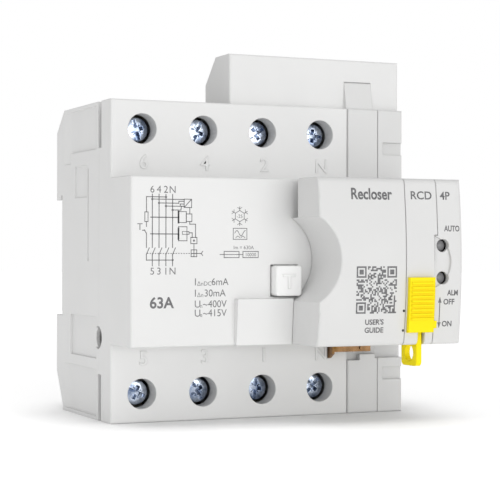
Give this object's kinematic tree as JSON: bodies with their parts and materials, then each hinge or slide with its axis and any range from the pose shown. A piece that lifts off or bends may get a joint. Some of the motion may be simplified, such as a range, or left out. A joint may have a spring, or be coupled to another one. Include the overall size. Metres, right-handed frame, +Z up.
{
  "type": "residual current breaker with motor recloser",
  "caption": "Rail-mounted residual current breaker with screw terminals, a test button, an arched motor recloser with a yellow lock slider, and a supply block on top.",
  "frame": {"origin": "centre of the face that rests on the DIN rail", "axes": "+Y from the front towards the wall, +Z up, X along the rail"},
  "size_m": [0.09, 0.0849, 0.1023],
  "materials": {
    "grey_plastic": "fine-grained light grey moulded plastic",
    "white_plastic": "smooth white moulded plastic",
    "yellow_plastic": "satin yellow moulded plastic",
    "dark_plastic": "matt dark plastic",
    "grey_lens": "translucent grey plastic",
    "zinc_steel": "bluish zinc plating",
    "dark_steel": "dark steel",
    "copper": "slightly tarnished copper",
    "brass": "plain brass",
    "green_board": "green circuit board"
  },
  "bodies": {
    "case": {"rear_housing": "grey_plastic", "front_housing": "grey_plastic", "upper_terminal_bars": "copper", "lower_terminal_bars": "copper", "toggle_axle": "zinc_steel", "trip_relay": "dark_plastic", "trip_spring": "zinc_steel", "summation_core": "dark_steel", "sensor_winding": "copper", "primary_conductors": "copper", "detection_board": "green_board", "test_spring": "zinc_steel", "test_resistor": "dark_plastic", "housing_screws": "zinc_steel", "supply_link": "copper", "recloser_left_shell": "grey_plastic", "recloser_right_shell": "grey_plastic", "linkage_cover": "grey_plastic", "status_lenses": "grey_lens", "control_board": "green_board", "mode_switch": "dark_plastic", "motor": "dark_steel", "gear_axles": "zinc_steel", "recloser_screws": "zinc_steel", "supply_block_housing": "grey_plastic", "supply_block_base": "grey_plastic", "supply_block_board": "green_board", "supply_pins": "brass"},
    "toggle": {"toggle_handle": "dark_plastic", "coupling_bar": "zinc_steel", "drive_lever": "zinc_steel"},
    "shaft": {"contact_shaft": "dark_plastic", "moving_contact_arms": "copper", "contact_springs": "zinc_steel"},
    "link": {"toggle_link": "zinc_steel"},
    "gear": {"reduction_gear": "white_plastic"},
    "pinion": {"motor_pinion": "brass"},
    "test_button": {"test_button": "white_plastic"},
    "slider": {"mode_slider": "yellow_plastic"},
    "tongue": {"padlock_tongue": "yellow_plastic"},
    "plunger": {"trip_plunger": "zinc_steel"},
    "latch_left": {"breaker_latch_left": "dark_plastic"},
    "latch_right": {"breaker_latch_right": "dark_plastic"},
    "latch_recloser": {"recloser_latch": "dark_plastic"},
    "screw_top_1": {"terminal_screw_top_1": "zinc_steel"},
    "cage_top_1": {"clamp_cage_top_1": "zinc_steel"},
    "screw_top_2": {"terminal_screw_top_2": "zinc_steel"},
    "cage_top_2": {"clamp_cage_top_2": "zinc_steel"},
    "screw_top_3": {"terminal_screw_top_3": "zinc_steel"},
    "cage_top_3": {"clamp_cage_top_3": "zinc_steel"},
    "screw_top_4": {"terminal_screw_top_4": "zinc_steel"},
    "cage_top_4": {"clamp_cage_top_4": "zinc_steel"},
    "screw_bottom_1": {"terminal_screw_bottom_1": "zinc_steel"},
    "cage_bottom_1": {"clamp_cage_bottom_1": "zinc_steel"},
    "screw_bottom_2": {"terminal_screw_bottom_2": "zinc_steel"},
    "cage_bottom_2": {"clamp_cage_bottom_2": "zinc_steel"},
    "screw_bottom_3": {"terminal_screw_bottom_3": "zinc_steel"},
    "cage_bottom_3": {"clamp_cage_bottom_3": "zinc_steel"},
    "screw_bottom_4": {"terminal_screw_bottom_4": "zinc_steel"},
    "cage_bottom_4": {"clamp_cage_bottom_4": "zinc_steel"}
  },
  "joints": [
    {"name": "toggle_swing", "type": "hinge", "parent": "case", "child": "toggle", "pos_m": [0.01405, -0.054, 0], "axis": [-1, 0, 0], "range_deg": [0, 45]},
    {"name": "contact_shaft_turn", "type": "hinge", "parent": "case", "child": "shaft", "pos_m": [-0.01, -0.025, 0.01], "axis": [-1, 0, 0], "range_deg": [0, 20]},
    {"name": "toggle_link_pivot", "type": "hinge", "parent": "toggle", "child": "link", "pos_m": [0.00855, -0.05185, -0.00337], "axis": [-1, 0, 0], "range_deg": [-45, 0]},
    {"name": "reduction_gear_turn", "type": "hinge", "parent": "case", "child": "gear", "pos_m": [0.032, -0.03, 0], "axis": [-1, 0, 0], "range_deg": [-180, 0]},
    {"name": "motor_pinion_turn", "type": "hinge", "parent": "case", "child": "pinion", "pos_m": [0.035, -0.03, -0.0135], "axis": [-1, 0, 0], "range_deg": [0, 515]},
    {"name": "test_button_press", "type": "slide", "parent": "case", "child": "test_button", "axis": [0, 1, 0], "range_m": [0, 0.0022], "stiffness_N_per_m": 600, "springref_m": -0.001, "deforming": ["test_spring"]},
    {"name": "mode_slider_travel", "type": "hinge", "parent": "case", "child": "slider", "pos_m": [0.0316, 0.0915, 0], "axis": [-1, 0, 0], "range_deg": [0, 2.2]},
    {"name": "padlock_tongue_slide", "type": "slide", "parent": "slider", "child": "tongue", "axis": [0, 0, 1], "range_m": [0, 0.005]},
    {"name": "trip_plunger_stroke", "type": "slide", "parent": "case", "child": "plunger", "axis": [1, 0, 0], "range_m": [0, 0.002], "deforming": ["trip_spring"]},
    {"name": "latch_left_slide", "type": "slide", "parent": "case", "child": "latch_left", "axis": [0, 0, -1], "range_m": [0, 0.003], "stiffness_N_per_m": 2000, "springref_m": -0.001},
    {"name": "latch_right_slide", "type": "slide", "parent": "case", "child": "latch_right", "axis": [0, 0, -1], "range_m": [0, 0.003], "stiffness_N_per_m": 2000, "springref_m": -0.001},
    {"name": "latch_recloser_slide", "type": "slide", "parent": "case", "child": "latch_recloser", "axis": [0, 0, -1], "range_m": [0, 0.003], "stiffness_N_per_m": 2000, "springref_m": -0.001},
    {"name": "screw_top_1_turn", "type": "hinge", "parent": "case", "child": "screw_top_1", "pos_m": [-0.036, -0.0375, 0.0361], "axis": [0, 1, 0], "range_deg": [0, 2880]},
    {"name": "cage_top_1_lift", "type": "slide", "parent": "case", "child": "cage_top_1", "axis": [0, -1, 0], "range_m": [0, 0.008]},
    {"name": "screw_top_2_turn", "type": "hinge", "parent": "case", "child": "screw_top_2", "pos_m": [-0.018, -0.0375, 0.0361], "axis": [0, 1, 0], "range_deg": [0, 2880]},
    {"name": "cage_top_2_lift", "type": "slide", "parent": "case", "child": "cage_top_2", "axis": [0, -1, 0], "range_m": [0, 0.008]},
    {"name": "screw_top_3_turn", "type": "hinge", "parent": "case", "child": "screw_top_3", "pos_m": [0, -0.0375, 0.0361], "axis": [0, 1, 0], "range_deg": [0, 2880]},
    {"name": "cage_top_3_lift", "type": "slide", "parent": "case", "child": "cage_top_3", "axis": [0, -1, 0], "range_m": [0, 0.008]},
    {"name": "screw_top_4_turn", "type": "hinge", "parent": "case", "child": "screw_top_4", "pos_m": [0.018, -0.0375, 0.0361], "axis": [0, 1, 0], "range_deg": [0, 2880]},
    {"name": "cage_top_4_lift", "type": "slide", "parent": "case", "child": "cage_top_4", "axis": [0, -1, 0], "range_m": [0, 0.008]},
    {"name": "screw_bottom_1_turn", "type": "hinge", "parent": "case", "child": "screw_bottom_1", "pos_m": [-0.036, -0.0375, -0.0361], "axis": [0, 1, 0], "range_deg": [0, 2880]},
    {"name": "cage_bottom_1_lift", "type": "slide", "parent": "case", "child": "cage_bottom_1", "axis": [0, -1, 0], "range_m": [0, 0.008]},
    {"name": "screw_bottom_2_turn", "type": "hinge", "parent": "case", "child": "screw_bottom_2", "pos_m": [-0.018, -0.0375, -0.0361], "axis": [0, 1, 0], "range_deg": [0, 2880]},
    {"name": "cage_bottom_2_lift", "type": "slide", "parent": "case", "child": "cage_bottom_2", "axis": [0, -1, 0], "range_m": [0, 0.008]},
    {"name": "screw_bottom_3_turn", "type": "hinge", "parent": "case", "child": "screw_bottom_3", "pos_m": [0, -0.0375, -0.0361], "axis": [0, 1, 0], "range_deg": [0, 2880]},
    {"name": "cage_bottom_3_lift", "type": "slide", "parent": "case", "child": "cage_bottom_3", "axis": [0, -1, 0], "range_m": [0, 0.008]},
    {"name": "screw_bottom_4_turn", "type": "hinge", "parent": "case", "child": "screw_bottom_4", "pos_m": [0.018, -0.0375, -0.0361], "axis": [0, 1, 0], "range_deg": [0, 2880]},
    {"name": "cage_bottom_4_lift", "type": "slide", "parent": "case", "child": "cage_bottom_4", "axis": [0, -1, 0], "range_m": [0, 0.008]}
  ],
  "couplings": [
    {"joint": "contact_shaft_turn", "follows": "toggle_swing", "ratio": 0.44444},
    {"joint": "toggle_link_pivot", "follows": "toggle_swing", "ratio": -1},
    {"joint": "reduction_gear_turn", "follows": "toggle_swing", "ratio": -4},
    {"joint": "motor_pinion_turn", "follows": "toggle_swing", "ratio": 11.429},
    {"joint": "screw_top_1_turn", "follows": "cage_top_1_lift", "rad_per_m": 6283.2},
    {"joint": "screw_top_2_turn", "follows": "cage_top_2_lift", "rad_per_m": 6283.2},
    {"joint": "screw_top_3_turn", "follows": "cage_top_3_lift", "rad_per_m": 6283.2},
    {"joint": "screw_top_4_turn", "follows": "cage_top_4_lift", "rad_per_m": 6283.2},
    {"joint": "screw_bottom_1_turn", "follows": "cage_bottom_1_lift", "rad_per_m": 6283.2},
    {"joint": "screw_bottom_2_turn", "follows": "cage_bottom_2_lift", "rad_per_m": 6283.2},
    {"joint": "screw_bottom_3_turn", "follows": "cage_bottom_3_lift", "rad_per_m": 6283.2},
    {"joint": "screw_bottom_4_turn", "follows": "cage_bottom_4_lift", "rad_per_m": 6283.2}
  ]
}
